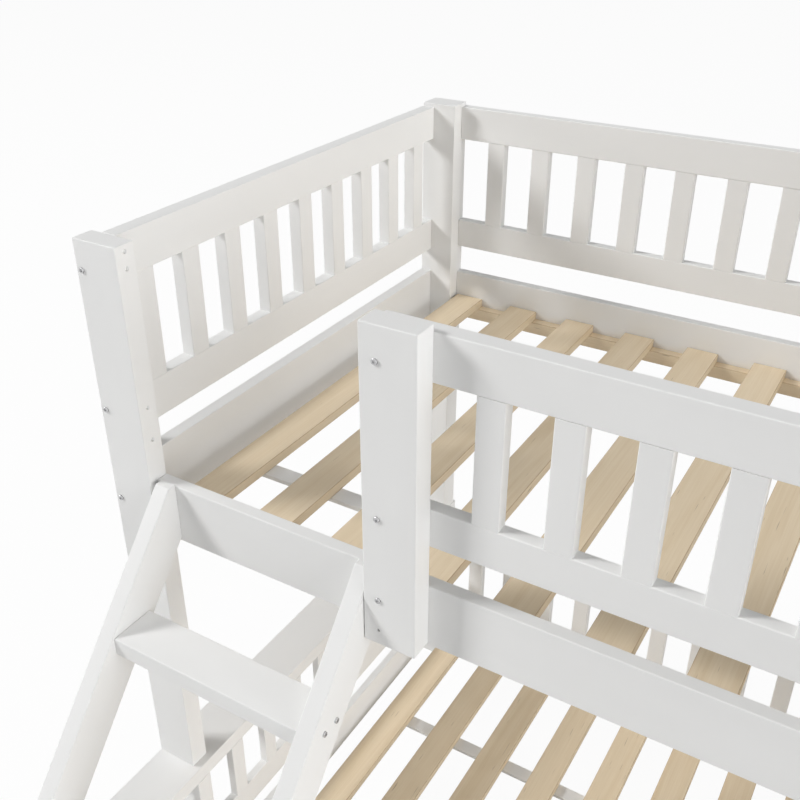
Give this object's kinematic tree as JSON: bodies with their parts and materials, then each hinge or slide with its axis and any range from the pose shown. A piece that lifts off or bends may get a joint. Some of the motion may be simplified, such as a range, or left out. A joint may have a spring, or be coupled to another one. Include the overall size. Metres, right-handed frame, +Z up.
{
  "type": "l-shaped bunk bed",
  "caption": "L-shaped bunk bed in white painted wood: guarded upper bed over a wider low bed, leaning ladder, and a low bed at right angles.",
  "frame": {"origin": "on the floor, in the middle of the whole outline", "axes": "+X along the bunk towards the corner bed, +Y to the back, +Z up"},
  "size_m": [3.258, 2.2536, 1.771],
  "materials": {
    "white_wood": "satin white paint",
    "pine": "bare planed pine",
    "steel": "zinc plated"
  },
  "bodies": {
    "root": {"front_left_post": "white_wood", "front_right_post": "white_wood", "back_left_post": "white_wood", "back_right_post": "white_wood", "guard_post": "white_wood", "post_battens": "white_wood", "left_end_top_rail": "white_wood", "left_end_lower_rail": "white_wood", "left_end_slats": "white_wood", "left_end_bed_rail": "white_wood", "right_end_top_rail": "white_wood", "right_end_lower_rail": "white_wood", "right_end_slats": "white_wood", "right_end_bed_rail": "white_wood", "front_guard_top_rail": "white_wood", "front_guard_lower_rail": "white_wood", "front_guard_slats": "white_wood", "front_side_rail": "white_wood", "back_guard_top_rail": "white_wood", "back_guard_lower_rail": "white_wood", "back_guard_slats": "white_wood", "back_side_rail": "white_wood", "upper_ledgers": "pine", "upper_slats": "pine", "ladder_left_stile": "white_wood", "ladder_right_stile": "white_wood", "ladder_steps": "white_wood", "lower_left_cap": "white_wood", "lower_left_legs": "white_wood", "lower_left_panel_rail": "white_wood", "lower_left_panel_slats": "white_wood", "lower_left_end_rail": "white_wood", "lower_right_cap": "white_wood", "lower_right_legs": "white_wood", "lower_right_panel_rail": "white_wood", "lower_right_panel_slats": "white_wood", "lower_right_end_rail": "white_wood", "lower_front_side_rail": "white_wood", "lower_back_side_rail": "white_wood", "lower_guard_top_rail": "white_wood", "lower_guard_slats": "white_wood", "lower_ledgers": "pine", "lower_slats": "pine", "slat_strips": "white_wood", "corner_caps": "white_wood", "corner_legs": "white_wood", "corner_panel_rails": "white_wood", "corner_panel_slats": "white_wood", "corner_end_rails": "white_wood", "corner_left_side_rail": "white_wood", "corner_right_side_rail": "white_wood", "corner_ledgers": "pine", "corner_slats": "pine", "bolts": "steel", "barrel_nuts": "steel", "sleeve_nuts": "steel", "post_pins": "steel", "dowels": "pine"}
  },
  "joints": []
}
